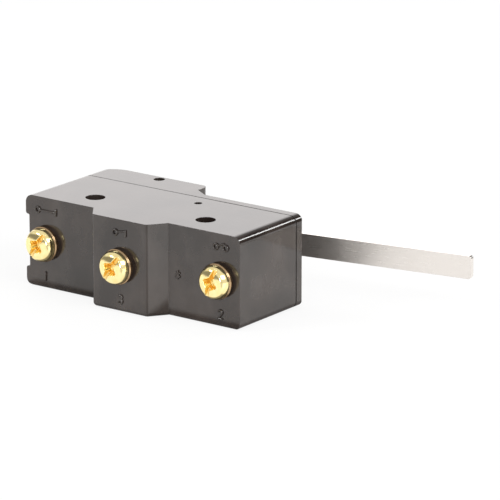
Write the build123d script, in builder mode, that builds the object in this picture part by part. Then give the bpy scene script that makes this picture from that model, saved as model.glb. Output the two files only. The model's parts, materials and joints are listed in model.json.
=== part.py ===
from build123d import *
import os
from math import cos, radians, sin

# Snap-action door switch with screw terminals and a long hinged lever, in millimetres.
# X runs along the body towards the lever's tip, Y from the terminals to the lever,
# Z through the thickness. The origin lies midway between the two mounting holes,
# on the side face that the switch rests on.

# Moulded body
body_length = 49.2
body_thickness = 17.45
terminal_face_y = -5.7
nose_height = 3.4
nose_foot_half = 8.6
nose_face_half = 6.1
nose_left_radius = 0.5
nose_right_radius = 1.0
front_edge_radius = 0.8
seam_y = 11.4
cover_thickness = 2.0
end_edge_radius = 1.5
seam_reveal = 0.15

# Groove in the left end
groove_width = 10.0
groove_depth = 0.8
groove_lip_radius = 0.45
groove_corner_radius = 0.3

# Mounting holes through the thickness
mounting_spacing = 25.4
mounting_radius = 1.85

# Hinge block on the cover
block_height = 5.1
block_end_reach = 10.4
block_corner_radius = 5.0
block_back_radius = 1.3
cover_corner_radius = 0.3
ramp_height = 1.9
ramp_length = 3.0

# Chamber inside the housing
side_wall = 2.0
left_wall = 2.1
right_wall = 1.9
chamber_floor_y = 3.5
well_half = 8.6
well_floor_y = -2.0

# Cover fastening
lip_depth = 0.9
lip_thickness = 1.2
lip_gap = 0.15
lug_x = 4.9
lug_y = 8.1
lug_half = 2.0
lug_thickness = 1.5
cover_pin_radius = 0.7
cover_pin_recess = 0.45
pin_gap = 0.03

# Lever, its pin and its slot
pivot_inset = 13.6
pivot_y = 17.0
lever_pin_radius = 1.0
lever_pin_recess = 0.8
hinge_gap = 0.05
lever_reach = 63.8
lever_width = 4.3
lever_thickness = 1.0
lever_tip_radius = 0.6
lever_rest_angle = 10.0
lever_travel = 13.5
ear_radius = 1.9
ear_thickness = 0.8
ear_blend_x = 6.5
strip_start_x = 3.2
foot_reach = 2.5
foot_drop = 1.6
foot_radius = 0.8
slot_gap = 0.25
slot_back_gap = 0.4

# Plunger
plunger_reach = 2.6
plunger_radius = 2.0
plunger_gap = 0.05
collar_radius = 3.0
collar_height = 1.0
collar_gap = 0.05
stem_radius = 1.2
stem_end_chamfer = 0.4
contact_gap = 0.05

# Snap blade
hinge_y = 7.0
blade_rest_angle = 1.3
blade_thickness = 0.3
blade_bead_radius = 0.35
seat_gap = 0.05
tongue_width = 3.0
head_start = 24.0
blade_head_width = 7.0
moving_contact_reach = 30.5
head_overrun = 2.6
leg_width = 1.5
leg_start = 12.4
leg_bow = 1.3

# Contacts
contact_radius = 1.6
contact_height = 0.7
fixed_contact_radius = 1.8
fixed_contact_height = 0.8
rivet_radius = 0.8
rivet_gap = 0.05
closed_gap = 0.08

# Terminal strips
strip_thickness = 0.8
strip_end_gap = 0.2
com_strip_half = 4.0
post_half = 2.0
post_height = 3.9
prong_gap = 0.3
prong_height = 3.6
no_strip_half = 3.5
no_strip_overrun = 2.6
nc_base_half = 3.4
riser_x = -2.5
riser_width = 4.3
riser_gap = 0.3
nc_arm_start_z = 4.3
nc_arm_half = 2.6

# Terminal screws, washers and blind threaded bushes
terminal_inset = 4.6
bush_radius = 2.7
bush_spigot_radius = 1.3
bush_end_wall = 0.9
bush_spigot_rise = 0.3
bush_gap = 0.03
thread_radius = 1.75
thread_gap = 0.05
washer_radius = 3.0
washer_thickness = 0.5
screw_head_radius = 3.2
screw_rim_height = 1.1
screw_shoulder_height = 0.9
screw_shoulder_width = 0.5
screw_dome_height = 0.5
screw_flat_half = 1.3
screw_end_gap = 0.4
slot_width = 0.95
slot_depth = 1.0
cross_half = 1.75
cross_width = 0.85
cross_depth = 1.5

# Derived places
mid_z = body_thickness / 2
left_x = -body_length / 2
right_x = body_length / 2
terminal_spacing = body_length / 2 - terminal_inset
pivot_x = left_x + pivot_inset
block_end_x = pivot_x + block_end_reach
plunger_x = pivot_x + plunger_reach
nose_face_y = terminal_face_y - nose_height
cover_y = seam_y + cover_thickness
block_y = cover_y + block_height
chamber_left_x = left_x + left_wall
chamber_right_x = right_x - right_wall
chamber_width = body_thickness - 2 * side_wall
chamber_depth = seam_y - chamber_floor_y
lug_bottom_z = side_wall + lip_gap
slot_half = lever_width / 2 + slot_gap
strip_top_y = chamber_floor_y + strip_thickness
com_end_x = chamber_left_x + strip_end_gap
no_end_x = chamber_right_x - strip_end_gap
post_face_x = com_end_x + strip_thickness
hinge_x = post_face_x

# The foot's lowest point at rest sets the plunger's top
rest = radians(lever_rest_angle)
pressed = radians(lever_rest_angle - lever_travel)
foot_y = pivot_y + foot_reach * sin(rest) - foot_drop * cos(rest) - foot_radius
plunger_top_y = foot_y - contact_gap
foot_pressed_y = pivot_y + foot_reach * sin(pressed) - foot_drop * cos(pressed) - foot_radius
plunger_travel = foot_y - foot_pressed_y
collar_top_y = seam_y - collar_gap

# The blade turns about its seat and follows the plunger
blade_tilt = radians(blade_rest_angle)
plunger_arm = (plunger_x - hinge_x) / cos(blade_tilt)
blade_turn = plunger_travel / plunger_arm
half_blade = blade_thickness / 2
stem_end_y = hinge_y + (plunger_x - hinge_x) * sin(blade_tilt) / cos(blade_tilt) + half_blade + contact_gap
contact_x = hinge_x + moving_contact_reach * cos(blade_tilt)
contact_rest_y = hinge_y + moving_contact_reach * sin(blade_tilt)
contact_pressed_y = hinge_y + moving_contact_reach * sin(blade_tilt - blade_turn)
contact_half = half_blade + contact_height
nc_contact_y = contact_rest_y + contact_half + closed_gap
no_contact_y = contact_pressed_y - contact_half - closed_gap
no_start_x = contact_x - no_strip_overrun
nc_arm_y = nc_contact_y + fixed_contact_height
prong_x = hinge_x + leg_start * cos(blade_tilt) - prong_gap - strip_thickness

# Name, X, face level, floor level inside, and how far the head's slot is turned
terminals = [
    ("com", -terminal_spacing, terminal_face_y, chamber_floor_y, 55.5),
    ("nc", 0.0, nose_face_y, well_floor_y, 54.0),
    ("no", terminal_spacing, terminal_face_y, chamber_floor_y, 69.5),
]


def outward(x, y):
    """Plane on a terminal's axis that faces away from the body, towards -Y."""
    return Plane(origin=(x, y, mid_z), x_dir=(1, 0, 0), z_dir=(0, -1, 0))


def upward(x, y, z=mid_z):
    """Plane that faces +Y, for what stands on the chamber floor or goes through the cover."""
    return Plane(origin=(x, y, z), x_dir=(1, 0, 0), z_dir=(0, 1, 0))


def side_view(z):
    """Plane parallel to the side faces, at a height through the thickness."""
    return Plane.XY.offset(z)


lever_plane = Plane(
    origin=(pivot_x, pivot_y, mid_z),
    x_dir=(cos(rest), sin(rest), 0),
    z_dir=(0, 0, 1),
)
blade_plane = Plane(
    origin=(hinge_x, hinge_y, mid_z),
    x_dir=(cos(blade_tilt), sin(blade_tilt), 0),
    z_dir=(0, 0, 1),
)
end_view = Plane(origin=(0, nose_face_y, mid_z), x_dir=(1, 0, 0), z_dir=(0, 1, 0))
full_height = block_y - nose_face_y

os.makedirs("parts", exist_ok=True)


# Housing: stepped outline, rounded ends, a groove in the left end, a chamber and a well
with BuildPart() as housing:
    with BuildSketch(side_view(0)) as outline:
        with BuildLine():
            Polyline(
                (left_x, seam_y),
                (left_x, terminal_face_y),
                (-nose_foot_half, terminal_face_y),
                (-nose_face_half, nose_face_y),
                (nose_face_half, nose_face_y),
                (nose_foot_half, terminal_face_y),
                (right_x, terminal_face_y),
                (right_x, seam_y),
                close=True,
            )
        make_face()
        nose_corners = outline.vertices().group_by(Axis.Y)[0].sort_by(Axis.X)
        fillet(nose_corners[0], nose_left_radius)
        right_corner = outline.vertices().group_by(Axis.Y)[0].sort_by(Axis.X)[-1]
        fillet(right_corner, nose_right_radius)
    extrude(amount=body_thickness)
    low_edges = housing.faces().sort_by(Axis.Z)[0].edges()
    front_edges = low_edges.filter_by_position(Axis.X, left_x + 0.1, right_x - 0.1)
    front_edges = front_edges.filter_by_position(Axis.Y, nose_face_y - 0.1, seam_y - 0.1)
    fillet(front_edges, front_edge_radius)

    with BuildSketch(end_view):
        RectangleRounded(body_length, body_thickness, end_edge_radius)
    extrude(amount=full_height, mode=Mode.INTERSECT)

    with BuildSketch(end_view) as groove:
        with Locations((left_x, 0)):
            Rectangle(2 * groove_depth, groove_width)
        fillet(groove.vertices().group_by(Axis.X)[-1], groove_corner_radius)
    extrude(amount=full_height, mode=Mode.SUBTRACT)
    groove_lips = housing.edges().filter_by(Axis.Y).filter_by_position(
        Axis.Z, mid_z - groove_width / 2 - 0.01, mid_z + groove_width / 2 + 0.01
    )
    fillet(groove_lips.group_by(Axis.X)[0], groove_lip_radius)

    chamber_x = (chamber_left_x + chamber_right_x) / 2
    with BuildSketch(upward(0, chamber_floor_y)):
        with Locations((chamber_x, 0)):
            Rectangle(chamber_right_x - chamber_left_x, chamber_width)
    extrude(amount=chamber_depth, mode=Mode.SUBTRACT)
    with BuildSketch(upward(0, well_floor_y)):
        Rectangle(2 * well_half, chamber_width)
    extrude(amount=chamber_floor_y - well_floor_y, mode=Mode.SUBTRACT)

    with BuildSketch(side_view(0)):
        with GridLocations(mounting_spacing, 0, 2, 1):
            Circle(mounting_radius)
    extrude(amount=body_thickness, mode=Mode.SUBTRACT)
    with BuildSketch(side_view(0)):
        with Locations((lug_x, lug_y)):
            Circle(cover_pin_radius + pin_gap)
    extrude(amount=body_thickness, mode=Mode.SUBTRACT)

    for name, x, face_y, floor_y, turn in terminals:
        with BuildSketch(outward(x, floor_y)):
            Circle(bush_radius + bush_gap)
        extrude(amount=floor_y - face_y, mode=Mode.SUBTRACT)

housing.part.label = "housing"
export_step(housing.part, "parts/housing.step")


# Cover: flat lid with the slotted hinge block, a locating lip and two pinned lugs
with BuildPart() as cover:
    with BuildSketch(side_view(0)) as lid:
        with BuildLine():
            Polyline(
                (left_x, seam_y),
                (right_x, seam_y),
                (right_x, cover_y),
                (block_end_x + ramp_length, cover_y),
                (block_end_x, cover_y + ramp_height),
                (block_end_x, block_y),
                (left_x, block_y),
                close=True,
            )
        make_face()
        back_corners = lid.vertices().group_by(Axis.Y)[-1].sort_by(Axis.X)
        fillet(back_corners[0], block_corner_radius)
        block_end = lid.vertices().group_by(Axis.Y)[-1].sort_by(Axis.X)[-1]
        fillet(block_end, block_back_radius)
        lid_end = lid.vertices().group_by(Axis.X)[-1].sort_by(Axis.Y)[-1]
        fillet(lid_end, cover_corner_radius)
    extrude(amount=body_thickness)

    with BuildSketch(end_view):
        RectangleRounded(body_length, body_thickness, end_edge_radius)
    extrude(amount=full_height, mode=Mode.INTERSECT)

    with BuildSketch(upward(0, seam_y)):
        RectangleRounded(body_length, body_thickness, end_edge_radius)
        RectangleRounded(
            body_length - 2 * seam_reveal,
            body_thickness - 2 * seam_reveal,
            end_edge_radius - seam_reveal,
            mode=Mode.SUBTRACT,
        )
    extrude(amount=seam_reveal, mode=Mode.SUBTRACT)

    slot_left_x = pivot_x - ear_radius - slot_back_gap
    with BuildSketch(side_view(mid_z - slot_half)):
        with Locations((slot_left_x, cover_y)):
            Rectangle(
                block_end_x + ramp_length - slot_left_x,
                block_height + ear_radius,
                align=(Align.MIN, Align.MIN),
            )
    extrude(amount=2 * slot_half, mode=Mode.SUBTRACT)

    lip_length = chamber_right_x - chamber_left_x - 2 * lip_gap
    lip_width = chamber_width - 2 * lip_gap
    with BuildSketch(upward(0, seam_y - lip_depth)):
        with Locations((chamber_x, 0)):
            Rectangle(lip_length, lip_width)
            Rectangle(lip_length - 2 * lip_thickness, lip_width - 2 * lip_thickness, mode=Mode.SUBTRACT)
    extrude(amount=lip_depth)

    for lug_z in (lug_bottom_z, body_thickness - lug_bottom_z - lug_thickness):
        with BuildSketch(side_view(lug_z)):
            with Locations((lug_x, lug_y)):
                Circle(lug_half)
                Rectangle(2 * lug_half, seam_y - lug_y, align=(Align.CENTER, Align.MIN))
        extrude(amount=lug_thickness)

    with BuildSketch(side_view(0)):
        with Locations((lug_x, lug_y)):
            Circle(cover_pin_radius + pin_gap)
        with Locations((pivot_x, pivot_y)):
            Circle(lever_pin_radius + hinge_gap)
    extrude(amount=body_thickness, mode=Mode.SUBTRACT)

    with BuildSketch(upward(plunger_x, seam_y)):
        Circle(plunger_radius + plunger_gap)
    extrude(amount=cover_thickness, mode=Mode.SUBTRACT)
cover.part.label = "cover"
export_step(cover.part, "parts/cover.step")


# Pins: one through the hinge block, and two short ones through the side walls and lugs
with BuildPart() as lever_pin:
    with BuildSketch(side_view(lever_pin_recess)):
        with Locations((pivot_x, pivot_y)):
            Circle(lever_pin_radius)
    extrude(amount=body_thickness - 2 * lever_pin_recess)
    chamfer(lever_pin.edges(), lever_pin_radius / 5)
lever_pin.part.label = "lever_pin"
export_step(lever_pin.part, "parts/lever_pin.step")

cover_pin_length = lug_bottom_z + lug_thickness - cover_pin_recess
with BuildPart() as cover_pins:
    for pin_z in (cover_pin_recess, body_thickness - cover_pin_recess - cover_pin_length):
        with BuildSketch(side_view(pin_z)):
            with Locations((lug_x, lug_y)):
                Circle(cover_pin_radius)
        extrude(amount=cover_pin_length)
cover_pins.part.label = "cover_pins"
export_step(cover_pins.part, "parts/cover_pins.step")


# Lever: flat strip, two ears folded round the pin, and a round foot between them
with BuildPart() as lever:
    with BuildSketch(lever_plane.offset(-lever_width / 2)):
        with Locations((strip_start_x, 0)):
            Rectangle(lever_reach - strip_start_x, lever_thickness, align=(Align.MIN, Align.CENTER))
        with Locations((foot_reach, -foot_drop)):
            Circle(foot_radius)
        with BuildLine():
            Polyline(
                (foot_reach - foot_radius, -foot_drop),
                (strip_start_x, lever_thickness / 2),
                (ear_blend_x, -lever_thickness / 2),
                (foot_reach + foot_radius, -foot_drop),
                close=True,
            )
        make_face()
    extrude(amount=lever_width)
    for ear_z in (-lever_width / 2, lever_width / 2 - ear_thickness):
        with BuildSketch(lever_plane.offset(ear_z)):
            Circle(ear_radius)
            with Locations((foot_reach, -foot_drop)):
                Circle(foot_radius)
            with Locations((ear_blend_x, 0)):
                Circle(lever_thickness / 2)
            make_hull()
        extrude(amount=ear_thickness)
    with BuildSketch(lever_plane.offset(-lever_width / 2)):
        Circle(lever_pin_radius + hinge_gap)
    extrude(amount=lever_width, mode=Mode.SUBTRACT)
    tip_edges = lever.edges().filter_by(lambda e: abs(e.length - lever_thickness) < 1e-6)
    tip_edges = tip_edges.sort_by(Axis.X)[-2:]
    fillet(tip_edges, lever_tip_radius)
lever.part.label = "lever"
export_step(lever.part, "parts/lever.step")


# Plunger: guided shaft with a collar under the cover and a thin stem on the blade
with BuildPart() as plunger:
    with BuildSketch(upward(plunger_x, collar_top_y - collar_height)):
        Circle(collar_radius)
    extrude(amount=collar_height)
    with BuildSketch(upward(plunger_x, collar_top_y)):
        Circle(plunger_radius)
    extrude(amount=plunger_top_y - collar_top_y)
    with BuildSketch(upward(plunger_x, stem_end_y)):
        Circle(stem_radius)
    extrude(amount=collar_top_y - collar_height - stem_end_y)
    round_edges = plunger.edges().filter_by(GeomType.CIRCLE).sort_by(Axis.Y)
    chamfer(round_edges[0], stem_end_chamfer)
plunger.part.label = "plunger"
export_step(plunger.part, "parts/plunger.step")


# Snap blade: straight tongue, contact head and two bowed legs, stamped from one strip
with BuildPart() as snap_blade:
    with BuildSketch(blade_plane.offset(-tongue_width / 2)):
        Rectangle(head_start + 1, blade_thickness, align=(Align.MIN, Align.CENTER))
        Circle(blade_bead_radius)
    extrude(amount=tongue_width)

    head_length = moving_contact_reach + head_overrun - head_start
    with BuildSketch(blade_plane.offset(-blade_head_width / 2)):
        with Locations((head_start, 0)):
            Rectangle(head_length, blade_thickness, align=(Align.MIN, Align.CENTER))
    extrude(amount=blade_head_width)
    head_corners = snap_blade.edges().filter_by(lambda e: abs(e.length - blade_thickness) < 1e-6)
    fillet(head_corners.sort_by(Axis.X)[-2:], head_overrun - half_blade)

    leg_middle = (leg_start + head_start) / 2
    for leg_z in (-blade_head_width / 2, blade_head_width / 2 - leg_width):
        with BuildSketch(blade_plane.offset(leg_z)):
            with BuildLine():
                ThreePointArc(
                    (leg_start, -half_blade),
                    (leg_middle, -leg_bow - half_blade),
                    (head_start, -half_blade),
                )
                Line((head_start, -half_blade), (head_start, half_blade))
                ThreePointArc(
                    (head_start, half_blade),
                    (leg_middle, half_blade - leg_bow),
                    (leg_start, half_blade),
                )
                Line((leg_start, half_blade), (leg_start, -half_blade))
            make_face()
        extrude(amount=leg_width)

    rivet_plane = Plane(
        origin=blade_plane.from_local_coords((moving_contact_reach, -half_blade, 0)),
        x_dir=blade_plane.x_dir,
        z_dir=blade_plane.y_dir,
    )
    with BuildSketch(rivet_plane):
        Circle(rivet_radius + rivet_gap)
    extrude(amount=blade_thickness, mode=Mode.SUBTRACT)
snap_blade.part.label = "snap_blade"
export_step(snap_blade.part, "parts/snap_blade.step")


# Moving contact: rivet with a head on each side of the blade
with BuildPart() as moving_contact:
    for head_level in (-contact_height, blade_thickness):
        with BuildSketch(rivet_plane.offset(head_level)):
            Circle(contact_radius)
        extrude(amount=contact_height)
    with BuildSketch(rivet_plane):
        Circle(rivet_radius)
    extrude(amount=blade_thickness)
moving_contact.part.label = "moving_contact"
export_step(moving_contact.part, "parts/moving_contact.step")


# Common terminal: floor strip, seat post for the blade's end, and two prongs for its legs
with BuildPart() as com_terminal:
    with BuildSketch(upward(0, chamber_floor_y)):
        with Locations((com_end_x, 0)):
            Rectangle(
                prong_x + strip_thickness - com_end_x,
                2 * com_strip_half,
                align=(Align.MIN, Align.CENTER),
            )
        with Locations((-terminal_spacing, 0)):
            Circle(bush_spigot_radius + bush_gap, mode=Mode.SUBTRACT)
    extrude(amount=strip_thickness)
    with BuildSketch(side_view(mid_z - post_half)):
        with Locations((com_end_x, strip_top_y)):
            Rectangle(strip_thickness, post_height, align=(Align.MIN, Align.MIN))
        with Locations((post_face_x, hinge_y)):
            Circle(blade_bead_radius + seat_gap, mode=Mode.SUBTRACT)
    extrude(amount=2 * post_half)
    for prong_z in (mid_z - blade_head_width / 2, mid_z + blade_head_width / 2 - leg_width):
        with BuildSketch(side_view(prong_z)):
            with Locations((prong_x, strip_top_y)):
                Rectangle(strip_thickness, prong_height, align=(Align.MIN, Align.MIN))
        extrude(amount=leg_width)
com_terminal.part.label = "com_terminal"
export_step(com_terminal.part, "parts/com_terminal.step")


# Normally open terminal: floor strip that carries the lower contact
with BuildPart() as no_terminal:
    with BuildSketch(upward(0, chamber_floor_y)):
        with Locations((no_start_x, 0)):
            Rectangle(no_end_x - no_start_x, 2 * no_strip_half, align=(Align.MIN, Align.CENTER))
        with Locations((terminal_spacing, 0)):
            Circle(bush_spigot_radius + bush_gap, mode=Mode.SUBTRACT)
        with Locations((contact_x, 0)):
            Circle(rivet_radius + rivet_gap, mode=Mode.SUBTRACT)
    extrude(amount=strip_thickness)
no_terminal.part.label = "no_terminal"
export_step(no_terminal.part, "parts/no_terminal.step")


# Normally closed terminal: base on the well floor, riser by the side wall, arm over the blade
riser_z = side_wall + riser_gap
with BuildPart() as nc_terminal:
    with BuildSketch(upward(0, well_floor_y, riser_z)):
        Rectangle(
            2 * nc_base_half,
            mid_z + nc_base_half - riser_z,
            align=(Align.CENTER, Align.MAX),
        )
    extrude(amount=strip_thickness)
    with BuildSketch(side_view(riser_z)):
        with Locations((riser_x, well_floor_y)):
            Rectangle(
                riser_width,
                nc_arm_y + strip_thickness - well_floor_y,
                align=(Align.MIN, Align.MIN),
            )
    extrude(amount=strip_thickness)
    with BuildSketch(upward(riser_x, nc_arm_y, riser_z)):
        Rectangle(
            riser_width,
            mid_z + nc_arm_half - riser_z,
            align=(Align.MIN, Align.MAX),
        )
        with Locations((0, riser_z - nc_arm_start_z)):
            Rectangle(
                contact_x + nc_arm_half - riser_x,
                mid_z + nc_arm_half - nc_arm_start_z,
                align=(Align.MIN, Align.MAX),
            )
    extrude(amount=strip_thickness)
    with BuildSketch(upward(0, well_floor_y)):
        Circle(bush_spigot_radius + bush_gap)
    extrude(amount=strip_thickness, mode=Mode.SUBTRACT)
    with BuildSketch(upward(contact_x, nc_arm_y)):
        Circle(rivet_radius + rivet_gap)
    extrude(amount=strip_thickness, mode=Mode.SUBTRACT)
nc_terminal.part.label = "nc_terminal"
export_step(nc_terminal.part, "parts/nc_terminal.step")


# Fixed contacts: a round head on the strip's inner side and a shank through the strip
with BuildPart() as no_contact:
    with BuildSketch(upward(contact_x, strip_top_y)):
        Circle(fixed_contact_radius)
    extrude(amount=no_contact_y - strip_top_y)
    with BuildSketch(upward(contact_x, chamber_floor_y)):
        Circle(rivet_radius)
    extrude(amount=strip_thickness)
no_contact.part.label = "no_contact"
export_step(no_contact.part, "parts/no_contact.step")

with BuildPart() as nc_contact:
    with BuildSketch(upward(contact_x, nc_contact_y)):
        Circle(fixed_contact_radius)
    extrude(amount=fixed_contact_height)
    with BuildSketch(upward(contact_x, nc_arm_y)):
        Circle(rivet_radius)
    extrude(amount=strip_thickness)
nc_contact.part.label = "nc_contact"
export_step(nc_contact.part, "parts/nc_contact.step")


def threaded_bush(x, face_y, floor_y):
    """Blind bush moulded into the housing, with a spigot staked through the terminal strip."""
    with BuildPart() as bush:
        with BuildSketch(outward(x, floor_y)):
            Circle(bush_radius)
        extrude(amount=floor_y - face_y)
        with BuildSketch(outward(x, floor_y - bush_end_wall)):
            Circle(thread_radius)
        extrude(amount=floor_y - bush_end_wall - face_y, mode=Mode.SUBTRACT)
        with BuildSketch(upward(x, floor_y)):
            Circle(bush_spigot_radius)
        extrude(amount=strip_thickness + bush_spigot_rise)
    return bush


def flat_washer(x, face_y):
    """Flat washer that lies on the terminal face."""
    with BuildPart() as washer:
        with BuildSketch(outward(x, face_y)):
            Circle(washer_radius)
            Circle(thread_radius + thread_gap, mode=Mode.SUBTRACT)
        extrude(amount=washer_thickness)
    return washer


def pan_screw(x, face_y, floor_y, turn):
    """Pan-head screw with one straight slot and a cross recess, turned about its own axis."""
    axis_plane = outward(x, face_y)
    section = Plane(origin=axis_plane.origin, x_dir=axis_plane.x_dir, z_dir=-axis_plane.y_dir)
    shank_radius = thread_radius - thread_gap
    shank_end = face_y - floor_y + bush_end_wall + screw_end_gap
    rim_top = washer_thickness + screw_rim_height
    dome_foot = rim_top + screw_shoulder_height
    head_top = dome_foot + screw_dome_height
    dome_half = screw_head_radius - screw_shoulder_width
    with BuildPart() as screw:
        with BuildSketch(section):
            with BuildLine():
                Polyline(
                    (0, head_top),
                    (0, shank_end),
                    (shank_radius, shank_end),
                    (shank_radius, washer_thickness),
                    (screw_head_radius, washer_thickness),
                    (screw_head_radius, rim_top),
                    (dome_half, dome_foot),
                    (screw_flat_half, head_top),
                    close=True,
                )
            make_face()
        revolve(axis=Axis(axis_plane.origin, axis_plane.z_dir))
        driver = Plane(
            origin=axis_plane.origin,
            x_dir=(cos(radians(turn)), 0, sin(radians(turn))),
            z_dir=axis_plane.z_dir,
        )
        with BuildSketch(driver.offset(head_top - slot_depth)):
            Rectangle(2 * screw_head_radius + slot_width, slot_width)
        extrude(amount=slot_depth, mode=Mode.SUBTRACT)
        with BuildSketch(driver.offset(head_top - cross_depth)):
            Rectangle(2 * cross_half, cross_width)
            Rectangle(cross_width, 2 * cross_half)
        extrude(amount=cross_depth, mode=Mode.SUBTRACT)
    return screw


for name, x, face_y, floor_y, turn in terminals:
    bush = threaded_bush(x, face_y, floor_y)
    bush.part.label = f"{name}_insert"
    export_step(bush.part, f"parts/{name}_insert.step")
    washer = flat_washer(x, face_y)
    washer.part.label = f"{name}_washer"
    export_step(washer.part, f"parts/{name}_washer.step")
    screw = pan_screw(x, face_y, floor_y, turn)
    screw.part.label = f"{name}_screw"
    export_step(screw.part, f"parts/{name}_screw.step")

print("plunger travel", round(plunger_travel, 4), "blade turn in radians", round(blade_turn, 5))
print("contact opening", round(contact_rest_y - contact_pressed_y + closed_gap, 3))
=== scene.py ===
"""Oven door switch: finishes, relief marks, terminal screws, floor, light and camera.

Everything is in metres in the frame of the fixed model. X runs along the body towards the
lever's tip, Y from the terminals to the lever, Z through the thickness.
"""

import json
import logging
import math
from dataclasses import dataclass
from enum import Enum
from typing import Sequence

import bpy
import numpy as np
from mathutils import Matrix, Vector


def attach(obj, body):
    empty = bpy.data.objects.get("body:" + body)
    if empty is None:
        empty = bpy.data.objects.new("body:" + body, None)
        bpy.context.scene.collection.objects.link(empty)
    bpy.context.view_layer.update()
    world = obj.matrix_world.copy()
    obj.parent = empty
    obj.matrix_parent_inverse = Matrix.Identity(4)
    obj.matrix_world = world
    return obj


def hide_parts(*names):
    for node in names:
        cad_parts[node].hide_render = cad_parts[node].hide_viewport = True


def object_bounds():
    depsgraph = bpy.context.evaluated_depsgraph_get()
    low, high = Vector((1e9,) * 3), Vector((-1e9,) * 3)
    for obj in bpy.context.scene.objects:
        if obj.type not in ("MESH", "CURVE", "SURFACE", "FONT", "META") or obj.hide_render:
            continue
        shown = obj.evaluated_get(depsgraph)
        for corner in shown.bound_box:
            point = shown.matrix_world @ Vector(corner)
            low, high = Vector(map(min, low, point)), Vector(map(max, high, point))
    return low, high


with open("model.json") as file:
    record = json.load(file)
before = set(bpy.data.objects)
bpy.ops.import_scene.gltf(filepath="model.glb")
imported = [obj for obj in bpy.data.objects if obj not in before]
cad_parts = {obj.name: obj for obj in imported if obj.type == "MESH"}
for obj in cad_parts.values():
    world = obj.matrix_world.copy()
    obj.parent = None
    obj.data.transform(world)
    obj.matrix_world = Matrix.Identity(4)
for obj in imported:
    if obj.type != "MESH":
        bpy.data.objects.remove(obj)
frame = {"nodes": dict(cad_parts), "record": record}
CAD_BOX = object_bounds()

MM = 0.001
log = logging.getLogger("door_switch")


class Slot(Enum):
    """Material slots of the record."""

    BODY = "body_moulding"
    PLUNGER = "plunger_moulding"
    LEVER = "lever_steel"
    PIN = "steel_pin"
    BLADE = "spring_strip"
    STRIP = "terminal_strip"
    SCREW = "screw_plate"
    CONTACT = "contact_metal"


class Graph:
    """One material's node tree, with short calls for adding and joining its nodes."""

    def __init__(self, name: str) -> None:
        """Start an empty tree.

        Args:
            name: The material's name.
        """
        self.material = bpy.data.materials.new(name)
        self.material.use_nodes = True
        self.tree = self.material.node_tree
        self.tree.nodes.clear()
        self.output = self.tree.nodes.new("ShaderNodeOutputMaterial")

    def add(self, kind: str, inputs: dict | None = None, **settings: object) -> bpy.types.Node:
        """Add a node.

        Args:
            kind: The node's type without its "ShaderNode" prefix.
            inputs: A value or an output socket for each named or numbered input.
            **settings: Attributes of the node itself.

        Returns:
            The new node.
        """
        node = self.tree.nodes.new("ShaderNode" + kind)
        for key, value in settings.items():
            setattr(node, key, value)
        for key, value in (inputs or {}).items():
            if isinstance(value, bpy.types.NodeSocket):
                self.tree.links.new(value, node.inputs[key])
            else:
                node.inputs[key].default_value = value
        return node

    def math(self, operation: str, first: object, second: object = 0.0) -> bpy.types.NodeSocket:
        """Join two numbers by one operation of the Math node and return its output."""
        return self.add("Math", {0: first, 1: second}, operation=operation).outputs[0]

    def place(self, scale: tuple[float, float, float], turn: float = 0.0) -> bpy.types.NodeSocket:
        """Object coordinates, turned about Z and then scaled.

        Args:
            scale: Cells per metre along each axis.
            turn: Angle about Z in radians.

        Returns:
            The vector output.
        """
        coords = self.add("TexCoord").outputs["Object"]
        turned = self.add("Mapping", {"Vector": coords, "Rotation": (0.0, 0.0, -turn)})
        return self.add("Mapping", {"Vector": turned.outputs[0], "Scale": scale}).outputs[0]

    def noise(self, where: bpy.types.NodeSocket, detail: float = 3.0) -> bpy.types.NodeSocket:
        """Noise with one cell per unit of its vector, as a number from 0 to 1."""
        return self.add("TexNoise", {"Vector": where, "Scale": 1.0, "Detail": detail}).outputs[0]

    def between(self, value: object, low: float, high: float, out: tuple[float, float]) -> bpy.types.NodeSocket:
        """Map a number from low..high to the pair out, held at both ends."""
        spans = {"Value": value, "From Min": low, "From Max": high, "To Min": out[0], "To Max": out[1]}
        return self.add("MapRange", spans).outputs[0]

    def blend(self, factor: object, first: object, second: object) -> bpy.types.NodeSocket:
        """Mix two colours by a factor and return the colour."""
        node = self.add("Mix", data_type="RGBA")
        for index, value in ((0, factor), (6, first), (7, second)):
            if isinstance(value, bpy.types.NodeSocket):
                self.tree.links.new(value, node.inputs[index])
            else:
                node.inputs[index].default_value = value
        return node.outputs[2]

    def rounded_normal(self, radius: float) -> bpy.types.NodeSocket:
        """Normal that looks as if every sharp edge had this radius, in metres."""
        return self.add("Bevel", {"Radius": radius}, samples=6).outputs[0]

    def edges(self, rounded: bpy.types.NodeSocket) -> bpy.types.NodeSocket:
        """Number that is 0 on flat faces and 1 on edges, where the rounded normal leaves the real one."""
        flat = self.add("NewGeometry").outputs["Normal"]
        dot = self.add("VectorMath", {0: rounded, 1: flat}, operation="DOT_PRODUCT").outputs["Value"]
        return self.between(dot, 0.995, 0.80, (0.0, 1.0))

    def relief(
        self, height: object, depth: float, strength: float, normal: bpy.types.NodeSocket
    ) -> bpy.types.NodeSocket:
        """Bump a normal by a height pattern.

        Args:
            height: Height pattern from 0 to 1.
            depth: What a height of 1 stands for, in metres.
            strength: Share of the bump that is used.
            normal: Normal that the bump starts from.

        Returns:
            The bumped normal.
        """
        values = {"Height": height, "Distance": depth, "Strength": strength, "Normal": normal}
        return self.add("Bump", values).outputs[0]

    def finish(self, **inputs: object) -> bpy.types.Material:
        """Close the tree with a Principled shader and return the material.

        Args:
            **inputs: The shader's inputs, with _ for each space in a name.

        Returns:
            The finished material.
        """
        named = {key.replace("_", " "): value for key, value in inputs.items()}
        shader = self.add("BsdfPrincipled", named)
        self.tree.links.new(shader.outputs[0], self.output.inputs["Surface"])
        return self.material


def colour(red: float, green: float, blue: float) -> tuple[float, float, float, float]:
    """Linear colour with full alpha."""
    return (red, green, blue, 1.0)


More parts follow.
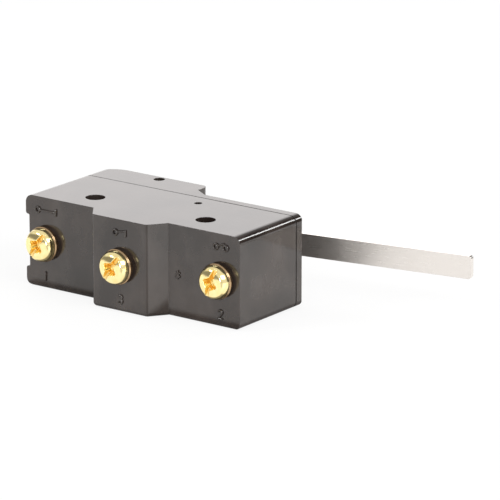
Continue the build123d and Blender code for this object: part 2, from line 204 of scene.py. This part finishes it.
@dataclass(frozen=True)
class MouldedPlastic:
    """Glossy moulding with faint flow marks, a fine skin, paler worn edges, and along the joint a line of painted
    shade with a duller gloss.

    Attributes:
        name: The material's name.
        base: Colour of the moulding.
        worn: Colour of its smudges and worn edges.
        roughness: Its roughness, before the slow change over its faces.
        edge_radius: Radius that its edges seem to have, in metres.
        smudge: Share of the worn colour in the smudges.
        edge_wear: Share of the worn colour on the edges.
        joint_y: Level of the joint line, in millimetres.
        joint_core: Half width of its core of painted shade, in millimetres.
        joint_rim: Half width at which it ends, in millimetres.
        joint_fade: Places along X between which it grows to full strength, in millimetres.
        joint_least: Its strength before the first of these places.
        joint_roughness: Roughness that it adds.
    """

    name: str
    base: tuple[float, float, float]
    worn: tuple[float, float, float]
    roughness: float = 0.10
    edge_radius: float = 0.14 * MM
    smudge: float = 0.30
    edge_wear: float = 0.55
    joint_y: float = 11.47
    joint_core: float = 0.10
    joint_rim: float = 0.26
    joint_fade: tuple[float, float] = (-22.0, 6.0)
    joint_least: float = 0.35
    joint_roughness: float = 0.30

    def material(self) -> bpy.types.Material:
        """Build the material: slow drift of colour, smudges, fine bump, worn edges and the joint line of painted
        shade and duller gloss.
        """
        g = Graph(self.name)
        drift = g.noise(g.place((90.0, 90.0, 90.0)), 4.0)
        smudge = g.noise(g.place((260.0, 200.0, 150.0)), 4.0)
        skin = g.noise(g.place((1500.0, 1500.0, 1500.0)), 2.0)
        dull = g.noise(g.place((240.0, 240.0, 240.0)), 5.0)
        rounded = g.rounded_normal(self.edge_radius)
        shade = g.blend(
            g.between(drift, 0.35, 0.65, (0.0, 1.0)),
            colour(*(0.60 * c for c in self.base)),
            colour(*(1.45 * c for c in self.base)),
        )
        shade = g.blend(g.between(smudge, 0.45, 0.75, (0.0, self.smudge)), shade, colour(*self.worn))
        shade = g.blend(g.math("MULTIPLY", g.edges(rounded), self.edge_wear), shade, colour(*self.worn))
        place_mm = g.add("SeparateXYZ", {0: g.place((1000.0, 1000.0, 1000.0))}).outputs
        # The joint line is painted shade: a dark stripe along the seam, where its groove lies in shade, weaker
        # towards -X; it also dulls the gloss.
        aside = g.math("ABSOLUTE", g.math("SUBTRACT", place_mm[1], self.joint_y))
        line = g.between(aside, self.joint_rim, self.joint_core, (0.0, 1.0))
        joint_shade_and_dullness = g.math("MULTIPLY", line, g.between(drift, 0.35, 0.6, (0.6, 1.0)))
        joint_shade_and_dullness = g.math("MULTIPLY", joint_shade_and_dullness, g.between(place_mm[0], *self.joint_fade, (self.joint_least, 1.0)))
        shade = g.blend(joint_shade_and_dullness, shade, colour(*(0.35 * c for c in self.base)))
        gloss = g.between(joint_shade_and_dullness, 0.0, 1.0, (0.5, 0.12))
        rough = g.between(dull, 0.25, 0.75, (self.roughness * 0.85, self.roughness * 1.25))
        rough = g.math("ADD", rough, g.math("MULTIPLY", joint_shade_and_dullness, self.joint_roughness))
        normal = g.relief(skin, 0.006 * MM, 0.60, rounded)
        return g.finish(Base_Color=shade, Roughness=rough, IOR=1.6, Specular_IOR_Level=gloss, Normal=normal)


@dataclass(frozen=True)
class BrushedMetal:
    """Rolled or brushed metal with fine lines along one direction and a slow tarnish."""

    name: str
    base: tuple[float, float, float]
    stain: tuple[float, float, float]
    roughness: float
    turn: float = 0.0
    edge_radius: float = 0.06 * MM

    def material(self) -> bpy.types.Material:
        """Build the material: stretched noise for the lines, broad noise for the tarnish."""
        g = Graph(self.name)
        lines = g.noise(g.place((220.0, 7000.0, 7000.0), self.turn), 3.0)
        broad = g.noise(g.place((120.0, 420.0, 420.0), self.turn), 3.0)
        rounded = g.rounded_normal(self.edge_radius)
        shade = g.blend(g.between(broad, 0.35, 0.75, (0.0, 0.6)), colour(*self.base), colour(*self.stain))
        rough = g.between(lines, 0.3, 0.7, (self.roughness * 0.92, self.roughness * 1.12))
        normal = g.relief(lines, 0.0012 * MM, 0.10, rounded)
        return g.finish(Base_Color=shade, Metallic=0.96, Roughness=rough, Normal=normal)


@dataclass(frozen=True)
class PlatedMetal:
    """Bright plating with a faint mottle, and in hollows, found by ambient occlusion, painted shade in a deeper tone
    with a rougher finish.
    """

    name: str
    base: tuple[float, float, float]
    mottled: tuple[float, float, float]
    hollow_shade_tone: tuple[float, float, float]
    roughness: float

    def material(self) -> bpy.types.Material:
        """Build the material: fine mottle, a soft orange-peel bump, and painted shade in hollows with a rougher
        finish.
        """
        g = Graph(self.name)
        mottle = g.noise(g.place((1300.0, 1300.0, 1300.0)), 4.0)
        peel = g.noise(g.place((700.0, 700.0, 700.0)), 2.0)
        rounded = g.rounded_normal(0.05 * MM)
        # Ambient occlusion paints shade into hollows: there the colour goes to a deeper, darker tone for shade and
        # for light bounced inside the recess, and the finish gets rougher.
        closed = g.add("AmbientOcclusion", {"Distance": 0.8 * MM}, samples=8).outputs["AO"]
        hollow_shade_and_matte = g.between(closed, 0.92, 0.58, (0.0, 1.0))
        shade = g.blend(g.between(mottle, 0.4, 0.8, (0.0, 0.7)), colour(*self.base), colour(*self.mottled))
        shade = g.blend(hollow_shade_and_matte, shade, colour(*self.hollow_shade_tone))
        rough = g.between(mottle, 0.3, 0.7, (self.roughness * 0.8, self.roughness * 1.3))
        rough = g.math("ADD", rough, g.math("MULTIPLY", hollow_shade_and_matte, 0.36))
        normal = g.relief(peel, 0.005 * MM, 0.25, rounded)
        return g.finish(Base_Color=shade, Metallic=1.0, Roughness=rough, Normal=normal)


FINISHES: dict[Slot, MouldedPlastic | BrushedMetal | PlatedMetal] = {
    Slot.BODY: MouldedPlastic("dark moulding", (0.026, 0.019, 0.0155), (0.085, 0.072, 0.064)),
    Slot.PLUNGER: MouldedPlastic("plunger moulding", (0.22, 0.035, 0.022), (0.34, 0.08, 0.05), 0.25),
    Slot.LEVER: BrushedMetal("brushed lever", (0.74, 0.705, 0.67), (0.69, 0.655, 0.62), 0.29, math.radians(10.0)),
    Slot.PIN: BrushedMetal("turned pin", (0.56, 0.56, 0.57), (0.46, 0.46, 0.47), 0.28),
    Slot.BLADE: BrushedMetal("spring strip", (0.74, 0.44, 0.25), (0.62, 0.34, 0.18), 0.26),
    Slot.STRIP: BrushedMetal("terminal strip", (0.80, 0.60, 0.29), (0.66, 0.46, 0.20), 0.30),
    # The third colour of each plating is its painted shade tone in hollows.
    Slot.SCREW: PlatedMetal("plated screw", (0.97, 0.83, 0.43), (0.90, 0.68, 0.26), (0.86, 0.50, 0.07), 0.11),
    Slot.CONTACT: PlatedMetal("contact silver", (0.86, 0.85, 0.83), (0.70, 0.68, 0.64), (0.50, 0.48, 0.45), 0.24),
}
# Darker copy of the plating: partly a bronze tone of the washers, partly painted shade under the screw heads; the
# screws' flanges take it too.
WASHER_AND_FLANGE_SHADE_FINISH = PlatedMetal("bronzed washer", (0.44, 0.30, 0.17), (0.35, 0.23, 0.12), (0.14, 0.085, 0.05), 0.20)


class Workshop:
    """Makes each finish once, and puts pieces into the scene and on their bodies."""

    def __init__(self) -> None:
        """Build every finish's material."""
        self.materials = {slot: finish.material() for slot, finish in FINISHES.items()}
        self.bronze_and_shade = WASHER_AND_FLANGE_SHADE_FINISH.material()

    def dress_nodes(self) -> None:
        """Give every node of the fixed model its slot's material, and the washers their darker one, a bronze tone
        with painted shade under the screw heads.
        """
        for part in frame["record"]["subparts"]:
            node = frame["nodes"][part["node"]]
            node.data.materials.clear()
            washer = part["node"].endswith("_washer")
            node.data.materials.append(self.bronze_and_shade if washer else self.materials[Slot(part["material_slot"])])
            log.info("dressed %s as %s", part["node"], part["material_slot"])

    def add_piece(self, name: str, mesh: bpy.types.Mesh, slot: Slot, body: str) -> bpy.types.Object:
        """Put a finished mesh into the scene as a piece that rides on a body.

        Args:
            name: The piece's name.
            mesh: Its mesh, already in place.
            slot: The material slot that it takes its finish from.
            body: The body that carries it.

        Returns:
            The new object.
        """
        mesh.name = name
        mesh.materials.clear()
        mesh.materials.append(self.materials[slot])
        mesh.polygons.foreach_set("use_smooth", [True] * len(mesh.polygons))
        piece = bpy.data.objects.new(name, mesh)
        bpy.context.scene.collection.objects.link(piece)
        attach(piece, body)
        log.info("made %s with %d faces", name, len(mesh.polygons))
        return piece


def mesh_from_arrays(name: str, points: np.ndarray, faces: Sequence[np.ndarray]) -> bpy.types.Mesh:
    """Fill a mesh from whole arrays.

    Args:
        name: The mesh's name.
        points: Vertex places, shape (n, 3), in metres.
        faces: Arrays of vertex numbers, each of shape (count, corners).

    Returns:
        The new mesh.
    """
    mesh = bpy.data.meshes.new(name)
    corners = np.concatenate([block.ravel() for block in faces]).astype(np.int32)
    sizes = np.concatenate([np.full(len(block), block.shape[1]) for block in faces])
    starts = np.concatenate([[0], np.cumsum(sizes)[:-1]]).astype(np.int32)
    mesh.vertices.add(len(points))
    mesh.loops.add(len(corners))
    mesh.polygons.add(len(sizes))
    mesh.vertices.foreach_set("co", points.astype(np.float32).ravel())
    mesh.loops.foreach_set("vertex_index", corners)
    mesh.polygons.foreach_set("loop_start", starts)
    mesh.update(calc_edges=True)
    mesh.validate()
    return mesh


def closed_rings(rings: np.ndarray, first: np.ndarray, last: np.ndarray) -> tuple[np.ndarray, list[np.ndarray]]:
    """Join rings of points into one closed skin with a pole at each end.

    Quads join ring i to ring i + 1 all the way round, and a fan of triangles joins each end
    ring to its pole.

    Args:
        rings: Points of shape (rings, around, 3).
        first: Pole before the first ring.
        last: Pole after the last ring.

    Returns:
        The points and the blocks of faces.
    """
    count, around, _ = rings.shape
    points = np.concatenate([rings.reshape(-1, 3), first[None], last[None]])
    here = np.arange(around)
    beside = (here + 1) % around
    base = np.arange(count - 1)[:, None] * around
    quads = np.stack([base + here, base + beside, base + beside + around, base + here + around], axis=-1)
    start, end = count * around, count * around + 1
    tail = (count - 1) * around
    opening = np.stack([np.full(around, start), beside, here], axis=-1)
    closing = np.stack([np.full(around, end), tail + here, tail + beside], axis=-1)
    return points, [quads.reshape(-1, 4), opening, closing]


def smooth_step(value: np.ndarray, low: float, high: float) -> np.ndarray:
    """Cubic step 3t^2 - 2t^3 from 0 at low to 1 at high."""
    t = np.clip((value - low) / (high - low), 0.0, 1.0)
    return t * t * (3.0 - 2.0 * t)


def soft_lower(first: np.ndarray, second: np.ndarray, blend: float) -> np.ndarray:
    """Lower of two heights with a rounded crossing: (a + b - sqrt((a - b)^2 + blend^2)) / 2."""
    return 0.5 * (first + second - np.sqrt((first - second) ** 2 + blend**2))


@dataclass(frozen=True)
class TerminalPlace:
    """Where one terminal screw stands.

    Attributes:
        name: Name of the terminal in the fixed model's nodes.
        x: Place along the body, in millimetres.
        face_y: Level of the terminal face, in millimetres.
        shank: Length of the shank below the face, in millimetres.
        turn: Angle of the slot from +X towards +Z, in degrees.
    """

    name: str
    x: float
    face_y: float
    shank: float
    turn: float


@dataclass
class TerminalScrew:
    """Pan-head screw with a slot, a tapered cross recess, a flange in the washers' darker material as painted shade
    under the head, and a rolled thread.

    All sizes are in millimetres, with heights counted outwards from the terminal face.
    """

    place: TerminalPlace
    mid_z: float = 8.725
    washer: float = 0.5
    flare_radius: float = 3.33
    flare_low: float = 0.72
    flare_high: float = 0.92
    neck: float = 1.14
    head_radius: float = 3.14
    rim_top: float = 1.22
    dome_foot_radius: float = 2.25
    dome_foot: float = 2.76
    head_top: float = 3.11
    slot_half: float = 0.50
    slot_floor: float = 2.25
    slot_hollow: float = 0.35
    slot_hollow_reach: float = 1.6
    slot_wall: float = 0.85
    arm_half: float = 0.60
    arm_foot: float = 0.95
    arm_slope: float = 2.2
    arm_wall: float = 1.45
    middle_radius: float = 0.60
    middle_slope: float = 2.4
    crossing: float = 0.06
    cross_floor: float = 1.60
    notch_radius: float = 2.72
    thread_outer: float = 1.70
    thread_inner: float = 1.44
    pitch: float = 0.6
    around: int = 240

    def head_profile(self) -> np.ndarray:
        """Half section of the head from near its axis out to the rim and back under it.

        The top is an arc of a sphere from the axis to the dome's foot. The shoulder is part of an
        ellipse that starts with the dome's slope: with k = slope x width / height its first angle
        is asin(k / (1 - k)). Below a short straight rim the head flares out to a thin flange,
        whose edge is rounded, and the underside is flat.

        Returns:
            Pairs of radius and height, shape (n, 2).
        """
        rise = self.head_top - self.dome_foot
        sphere = (self.dome_foot_radius**2 + rise**2) / (2 * rise)
        dome_r = np.linspace(0.03, self.dome_foot_radius, 84)
        dome_h = self.head_top - sphere + np.sqrt(sphere**2 - dome_r**2)
        width, height = self.head_radius - self.dome_foot_radius, self.dome_foot - self.rim_top
        share = self.dome_foot_radius / (sphere - rise) * width / height
        start = np.arcsin(share / (1 - share))
        turn = np.linspace(start, np.pi / 2, 31)[1:]
        wide, tall = width / (1 - np.sin(start)), height / np.cos(start)
        shoulder_r = self.head_radius - wide * (1 - np.sin(turn))
        shoulder_h = self.rim_top + tall * np.cos(turn)
        rim_h = np.linspace(self.rim_top, self.neck, 4)[1:]
        flare = np.linspace(0.0, 1.0, 9)[1:]
        flare_r = self.head_radius + (self.flare_radius - self.head_radius) * flare
        flare_h = self.neck + (self.flare_high - self.neck) * flare
        lip = np.linspace(0.0, np.pi / 2, 5)[1:]
        under = self.flare_low - self.washer
        lip_r = self.flare_radius - under * (1 - np.cos(lip))
        lip_h = self.washer + under * (1 - np.sin(lip))
        flat_r = np.linspace(self.flare_radius - under, self.thread_outer, 5)[1:]
        straight = np.array([self.flare_low])
        straight_r = np.full(3, self.head_radius)
        radius = np.concatenate([dome_r, shoulder_r, straight_r, flare_r, [self.flare_radius], lip_r, flat_r])
        height = np.concatenate([dome_h, shoulder_h, rim_h, flare_h, straight, lip_h, np.full(4, self.washer)])
        return np.stack([radius, height], axis=-1)

    def recess(self, along: np.ndarray, across: np.ndarray) -> np.ndarray:
        """Highest level that the slot and the cross leave at each point of the head.

        The slot's floor is hollowed by slot_hollow towards the axis, and its walls climb with the
        fourth power of the distance across. Each arm of the cross has a floor that climbs by
        arm_slope beyond arm_foot and walls that climb with the square of the distance sideways. A
        shallow cone opens the middle.

        Args:
            along: Distance along the slot.
            across: Distance across the slot.

        Returns:
            The level at each point.
        """
        slot_base = self.slot_floor - self.slot_hollow * np.exp(-((along / self.slot_hollow_reach) ** 2))
        level = slot_base + self.slot_wall * (across / self.slot_half) ** 4
        for lengthways, sideways in ((along, across), (across, along)):
            beyond = (np.abs(lengthways) - self.arm_foot) * self.arm_slope
            climb = self.cross_floor + np.clip(beyond, 0.0, None)
            level = soft_lower(level, climb + self.arm_wall * (sideways / self.arm_half) ** 2, self.crossing)
        outside = (np.hypot(along, across) - self.middle_radius) * self.middle_slope
        middle = self.cross_floor + np.clip(outside, 0.0, None)
        return soft_lower(level, middle, self.crossing)

    def shank_profile(self, angle: np.ndarray) -> np.ndarray:
        """Radius and height of the threaded shank over a grid of levels and angles.

        The radius swings between its outer and inner value by a rounded saw of the phase
        height / pitch - angle / 2 pi, fades in under the head and tapers at the tip.

        Args:
            angle: Angles round the axis.

        Returns:
            Grid of radius and height, shape (levels, angles, 2).
        """
        length = self.washer + self.place.shank
        level = np.linspace(0.0, 1.0, 110)[1:, None]
        height = self.washer - length * level + 0.0 * angle[None]
        phase = height / self.pitch - angle[None] / (2 * np.pi)
        ridge = 0.5 + 0.5 * np.cos(2 * np.pi * phase)
        ridge = smooth_step(ridge, 0.05, 0.95)
        depth = (self.thread_outer - self.thread_inner) * smooth_step(level, 0.02, 0.10)
        radius = self.thread_outer - depth * (1 - ridge)
        radius = radius - 0.45 * smooth_step(level, 0.93, 1.0)
        return np.stack([radius, height], axis=-1)

    def mesh(self) -> bpy.types.Mesh:
        """Turn the sections about the axis, cut the recess and put the screw in its place.

        A point at radius r, angle a and height h goes to x + r cos a, face_y - h, mid_z + r sin a.
        At one end of the slot the rim is notched: there its radius is at most
        notch_radius + 3 (distance across the slot)^2.

        Returns:
            The screw's closed mesh.
        """
        angle = np.linspace(0.0, 2 * np.pi, self.around, endpoint=False)
        head = np.repeat(self.head_profile()[:, None], self.around, axis=1)
        local = angle[None] - math.radians(self.place.turn)
        along, across = head[..., 0] * np.cos(local), head[..., 0] * np.sin(local)
        notch = (along < 0) & (head[..., 1] > self.neck - 0.01)
        level = self.recess(along, across)
        cut = soft_lower(head[..., 1], level, 0.04)
        head[..., 1] = np.where(head[..., 1] > self.rim_top - 0.01, cut, head[..., 1])
        held = np.minimum(head[..., 0], self.notch_radius + 3.0 * across**2)
        head[..., 0] = np.where(notch, held, head[..., 0])
        section = np.concatenate([head, self.shank_profile(angle)])
        rings = self.to_frame(section[..., 0] * np.cos(angle), section[..., 1], section[..., 0] * np.sin(angle))
        top = self.to_frame(0.0, float(self.recess(np.zeros(1), np.zeros(1))[0]), 0.0)
        tip = self.to_frame(0.0, float(section[-1, 0, 1]), 0.0)
        points, faces = closed_rings(rings, top, tip)
        return mesh_from_arrays(self.place.name + "_screw_detail", points, faces)

    def to_frame(self, across: object, height: object, up: object) -> np.ndarray:
        """Place in metres of a point given across the axis, out along it and up."""
        parts = np.broadcast_arrays(self.place.x + across, self.place.face_y - height, self.mid_z + up)
        return np.stack(parts, axis=-1) * MM

    def build(self, shop: Workshop) -> None:
        """Make the screw, paint shade on its flange with the washers' darker material, and let it stand for the plain
        one.
        """
        name = self.place.name + "_screw"
        piece = shop.add_piece(name + "_detail", self.mesh(), Slot.SCREW, "body")
        # The flange under the head takes the washers' darker material: painted shade under the head.
        piece.data.materials.append(shop.bronze_and_shade)
        profile = self.head_profile()
        flange = np.flatnonzero((profile[:-1, 1] < self.neck + 0.01) & (profile[1:, 0] > self.thread_outer + 0.3))
        flange_shade_index = np.zeros(len(piece.data.polygons), np.int32)
        flange_shade_index[flange.min() * self.around:(flange.max() + 1) * self.around] = 1
        piece.data.polygons.foreach_set("material_index", flange_shade_index)
        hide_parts(name)


@dataclass
class ReliefMarks:
    """Plain numerals and contact signs that stand a little proud of the terminal faces."""

    height: float = 0.36
    numeral_z: float = 2.42
    sign_z: float = 14.95
    stroke: float = 0.40
    ring_radius: float = 0.50

    def stroke_rings(self, path: np.ndarray) -> tuple[np.ndarray, list[np.ndarray]]:
        """Carry a half-round section along a flat path.

        The section is a half circle of the stroke's half width, squashed to the relief's height,
        with its ends sunk under the face. It shrinks to nothing at both ends of the path, so the
        stroke ends round.

        Args:
            path: Points of the path, shape (n, 2), in millimetres.

        Returns:
            The points, local to the face, and the blocks of faces.
        """
        along = np.gradient(path, axis=0)
        along /= np.linalg.norm(along, axis=1, keepdims=True)
        side = np.stack([-along[:, 1], along[:, 0]], axis=-1)
        around = np.linspace(0.0, 2 * np.pi, 16, endpoint=False)
        half = self.stroke / 2
        out = np.where(np.sin(around) > 0, self.height, 0.05) * np.sin(around)
        ring = path[:, None] + side[:, None] * (half * np.cos(around))[None, :, None]
        rings = np.concatenate([ring, np.broadcast_to(out[None, :, None], ring.shape[:2] + (1,))], axis=-1)
        first = np.append(path[0] - along[0] * half * 0.7, 0.4 * self.height)
        last = np.append(path[-1] + along[-1] * half * 0.7, 0.4 * self.height)
        return closed_rings(rings, first, last)

    def sign(
        self, shop: Workshop, name: str, middle: tuple[float, float, float], paths: Sequence[np.ndarray]
    ) -> None:
        """Make one raised sign from several strokes.

        Args:
            shop: Where pieces are made.
            name: The piece's name.
            middle: Place of the sign's middle on its face, in millimetres.
            paths: The strokes' paths about the sign's middle, in millimetres.
        """
        points, blocks, start = [], [], 0
        for path in paths:
            local, faces = self.stroke_rings(path)
            points.append((np.array(middle) + local[:, [0, 2, 1]] * (1.0, -1.0, 1.0)) * MM)
            blocks.extend(block + start for block in faces)
            start += len(local)
        shop.add_piece(name, mesh_from_arrays(name, np.concatenate(points), blocks), Slot.BODY, "body")

    @staticmethod
    def line(start: tuple[float, float], end: tuple[float, float]) -> np.ndarray:
        """Straight path of nine points."""
        return np.linspace(start, end, 9)

    @staticmethod
    def arc(x: float, z: float, radius: float, start: float, end: float) -> np.ndarray:
        """Arc about a point between two angles in degrees, as a path of 25 points."""
        angle = np.radians(np.linspace(start, end, 25))
        return np.stack([x + radius * np.cos(angle), z + radius * np.sin(angle)], axis=-1)

    def ring(self, x: float) -> np.ndarray:
        """Circle of ring_radius about a point on the sign's middle line."""
        return self.arc(x, 0.0, self.ring_radius, 0.0, 360.0)

    def build(self, shop: Workshop) -> None:
        """Make the three numerals, the three contact signs and the small mould mark."""
        rim = self.ring_radius
        one = [self.line((0.0, 0.82), (0.0, -0.82))]
        hook = np.concatenate([self.arc(0.0, 0.36, 0.42, 165.0, -35.0), self.line((0.18, -0.10), (-0.46, -0.78))])
        two = [hook, self.line((-0.46, -0.78), (0.48, -0.78))]
        three = [self.arc(0.0, 0.38, 0.40, 155.0, -80.0), self.arc(0.0, -0.38, 0.43, 80.0, -155.0)]
        common = [self.ring(-1.9), self.line((-1.9 + rim, 0.0), (2.4, 0.0)), self.line((2.4, -0.6), (2.4, 0.6))]
        closed = [self.ring(-1.1), self.line((-0.7, 0.15), (1.3, 0.5)), self.line((1.3, -0.55), (1.3, 0.65))]
        opened = [self.ring(-1.1), self.line((-0.75, 0.2), (0.75, 0.75)), self.ring(1.1)]
        star = [self.line((-0.42, 0.40), (0.42, -0.40)), self.line((-0.42, -0.40), (0.42, 0.40))]
        star.append(self.line((0.0, 0.75), (0.0, -0.75)))
        self.sign(shop, "numeral_1", (-20.0, -5.7, self.numeral_z), one)
        self.sign(shop, "numeral_2", (20.3, -5.7, self.numeral_z), two)
        self.sign(shop, "numeral_3", (0.2, -9.1, self.numeral_z), three)
        self.sign(shop, "sign_common", (-19.8, -5.7, self.sign_z), common)
        self.sign(shop, "sign_closed", (0.2, -9.1, self.sign_z), closed)
        self.sign(shop, "sign_open", (20.4, -5.7, self.sign_z), opened)
        self.sign(shop, "mould_mark", (10.74, -5.7, 8.15), star)


@dataclass(frozen=True)
class Softbox:
    """Rectangular lamp that faces the part from one direction.

    Attributes:
        name: The lamp's name.
        towards: Direction from the part to the lamp.
        distance: Distance in metres.
        size: Width and height in metres.
        level: Brightness of its face, where 1 is white paper.
        tint: Colour of its light.
    """

    name: str
    towards: tuple[float, float, float]
    distance: float
    size: tuple[float, float]
    level: float
    tint: tuple[float, float, float] = (1.0, 1.0, 1.0)

    def build(self, centre: Vector) -> None:
        """Add the lamp. Its power is level x pi x area, which gives its face that brightness."""
        light = bpy.data.lights.new(self.name, "AREA")
        light.shape = "RECTANGLE"
        light.size, light.size_y = self.size
        light.energy = self.level * math.pi * self.size[0] * self.size[1]
        light.color = self.tint
        lamp = bpy.data.objects.new(self.name, light)
        away = Vector(self.towards).normalized()
        lamp.location = centre + away * self.distance
        lamp.rotation_euler = away.to_track_quat("Z", "Y").to_euler()
        lamp.visible_camera = False
        bpy.context.scene.collection.objects.link(lamp)


@dataclass
class Studio:
    """Pale floor, even light with a darker room at the front left, and the photograph's camera."""

    camera_at: tuple[float, float, float] = (0.4264, -0.5473, 0.2119)
    camera_target: tuple[float, float, float] = (0.0162, 0.0050, 0.01109)
    focal_length: float = 284.9
    shift: tuple[float, float] = (0.0244, 0.0014)
    floor_half: float = 3.0
    body_half: tuple[float, float] = (24.6, 12.0)
    body_mid_y: float = 3.5
    shade_reach: float = 1.8
    shade_depth: float = 0.75
    softboxes: tuple[Softbox, ...] = (
        Softbox("backdrop", (-0.62, 0.73, 0.34), 0.60, (0.44, 0.34), 1.16, (1.0, 0.953, 0.944)),
        Softbox("rear strip", (0.42, 0.77, 0.46), 0.60, (0.20, 0.06), 14.0),
        Softbox("front window", (0.30, -0.93, 0.14), 0.70, (0.10, 0.16), 12.0),
        Softbox("overhead", (-0.49, -0.63, 0.60), 0.70, (0.16, 0.12), 18.0),
        Softbox("right window", (0.80, -0.18, 0.57), 0.70, (0.56, 0.25), 6.3),
    )

    def build_floor(self) -> None:
        """Add the floor: white to the eye with the part's soft shadow kept.

        In reflections it is half clear. Within shade_reach millimetres of the body it is dark
        there, because the body shades it.
        """
        half = self.floor_half
        corners = np.array([[-half, -half, 0.0], [half, -half, 0.0], [half, half, 0.0], [-half, half, 0.0]])
        corners[:, 2] = -0.02 * MM
        mesh = mesh_from_arrays("floor", corners, [np.array([[0, 1, 2, 3]])])
        g = Graph("floor paper")
        path = g.add("LightPath")
        paper = g.add("BsdfDiffuse", {"Color": colour(0.85, 0.845, 0.84)})
        glow = g.add("Emission", {"Color": colour(1.0, 1.0, 1.0), "Strength": 1.0})
        shown = g.add("MixShader", {0: 0.86, 1: paper.outputs[0], 2: glow.outputs[0]})
        clear = g.add("BsdfTransparent")
        mirrored = g.add("MixShader", {0: 0.50, 1: paper.outputs[0], 2: clear.outputs[0]})
        spot = g.add("SeparateXYZ", {0: g.place((1000.0, 1000.0, 1000.0))})
        ends = g.math("SUBTRACT", g.math("ABSOLUTE", spot.outputs[0]), self.body_half[0])
        off_middle = g.math("ABSOLUTE", g.math("SUBTRACT", spot.outputs[1], self.body_mid_y))
        sides = g.math("SUBTRACT", off_middle, self.body_half[1])
        near = g.between(g.math("MAXIMUM", ends, sides), self.shade_reach, 0.0, (0.0, self.shade_depth))
        shaded = g.add("BsdfDiffuse", {"Color": colour(0.05, 0.035, 0.03)})
        mirrored = g.add("MixShader", {0: near, 1: mirrored.outputs[0], 2: shaded.outputs[0]})
        bounced = g.add("MixShader", {0: path.outputs["Is Glossy Ray"], 1: paper.outputs[0], 2: mirrored.outputs[0]})
        lit = g.add("MixShader", {0: path.outputs["Is Camera Ray"], 1: bounced.outputs[0], 2: shown.outputs[0]})
        g.tree.links.new(lit.outputs[0], g.output.inputs["Surface"])
        mesh.materials.append(g.material)
        floor = bpy.data.objects.new("floor", mesh)
        bpy.context.scene.collection.objects.link(floor)

    def build_world(self) -> None:
        """Fill the world: white to the eye, and for light a pale room with four dark openings.

        Each opening is a range about a level direction, up to a height, with a depth of darkness.
        The lowest one is the gap in the bright paper below, on the side where the camera stands.
        """
        world = bpy.data.worlds.new("room")
        bpy.context.scene.world = world
        world.use_nodes = True
        tree = world.node_tree
        tree.nodes.clear()
        g = Graph.__new__(Graph)
        g.tree = tree
        g.output = tree.nodes.new("ShaderNodeOutputWorld")
        direction = g.add("TexCoord").outputs["Generated"]
        up = g.add("SeparateXYZ", {0: direction}).outputs[2]
        dark = 0.0
        openings = (
            ((-0.78, -0.62, 0.0), 0.45, 0.85, 0.42, 0.72),
            ((0.30, 0.95, 0.0), 0.60, 0.80, 0.85, 1.0),
            ((-0.12, -0.99, 0.0), 0.95, 0.985, 0.50, 0.65),
        )
        for towards, near, far, top, depth in openings:
            axis = g.add("VectorMath", {0: direction, 1: towards}, operation="DOT_PRODUCT").outputs["Value"]
            aside = g.between(axis, near, far, (0.0, depth))
            low = g.between(up, top, top - 0.20, (0.0, 1.0))
            dark = g.math("MAXIMUM", dark, g.math("MULTIPLY", aside, low))
        below = g.between(up, 0.02, -0.06, (0.0, 1.0))
        right = g.add("VectorMath", {0: direction, 1: (0.945, -0.326, 0.0)}, operation="DOT_PRODUCT").outputs["Value"]
        under = g.blend(g.between(right, 0.80, 0.92, (0.0, 1.0)), colour(1.35, 1.33, 1.31), colour(2.4, 2.34, 2.28))
        room = g.blend(below, colour(0.86, 0.86, 0.86), under)
        dark = g.math("MULTIPLY", dark, g.math("SUBTRACT", 1.0, below))
        gap = g.add("VectorMath", {0: direction, 1: (0.545, -0.839, 0.0)}, operation="DOT_PRODUCT").outputs["Value"]
        gap = g.math("MULTIPLY", g.between(gap, 0.88, 0.94, (0.0, 0.72)), g.between(up, 0.10, -0.02, (0.0, 1.0)))
        dark = g.math("MAXIMUM", dark, gap)
        room = g.blend(dark, room, colour(0.05, 0.045, 0.04))
        path = g.add("LightPath")
        light = g.add("Background", {"Color": room, "Strength": 1.0})
        white = g.add("Background", {"Color": colour(1.0, 1.0, 1.0), "Strength": 1.0})
        shown = g.add("MixShader", {0: path.outputs["Is Camera Ray"], 1: light.outputs[0], 2: white.outputs[0]})
        tree.links.new(shown.outputs[0], g.output.inputs["Surface"])

    def build_camera(self) -> None:
        """Add the camera that was fitted to the photograph's edges and holes."""
        data = bpy.data.cameras.new("photo camera")
        data.lens = self.focal_length
        data.sensor_width = 36.0
        data.shift_x, data.shift_y = self.shift
        data.clip_start, data.clip_end = 0.01, 20.0
        camera = bpy.data.objects.new("photo camera", data)
        camera.location = self.camera_at
        look = Vector(self.camera_target) - Vector(self.camera_at)
        camera.rotation_euler = look.to_track_quat("-Z", "Y").to_euler()
        bpy.context.scene.collection.objects.link(camera)
        bpy.context.scene.camera = camera

    def build(self) -> None:
        """Set up floor, world, lamps and camera."""
        self.build_floor()
        self.build_world()
        low, high = CAD_BOX
        centre = (low + high) / 2
        for box in self.softboxes:
            box.build(centre)
        self.build_camera()
        bpy.context.scene.view_settings.view_transform = "Standard"
        log.info("studio ready with %d softboxes", len(self.softboxes))


TERMINALS = (
    TerminalPlace("com", -20.0, -5.7, 7.9, 55.5),
    TerminalPlace("nc", 0.0, -9.1, 5.8, 54.0),
    TerminalPlace("no", 20.0, -5.7, 7.9, 69.5),
)


def main() -> None:
    """Dress the fixed model, add the new pieces and set up the studio."""
    logging.basicConfig(level=logging.INFO, format="%(name)s: %(message)s")
    shop = Workshop()
    shop.dress_nodes()
    for place in TERMINALS:
        TerminalScrew(place).build(shop)
    ReliefMarks().build(shop)
    Studio().build()


if __name__ == "__main__":
    main()
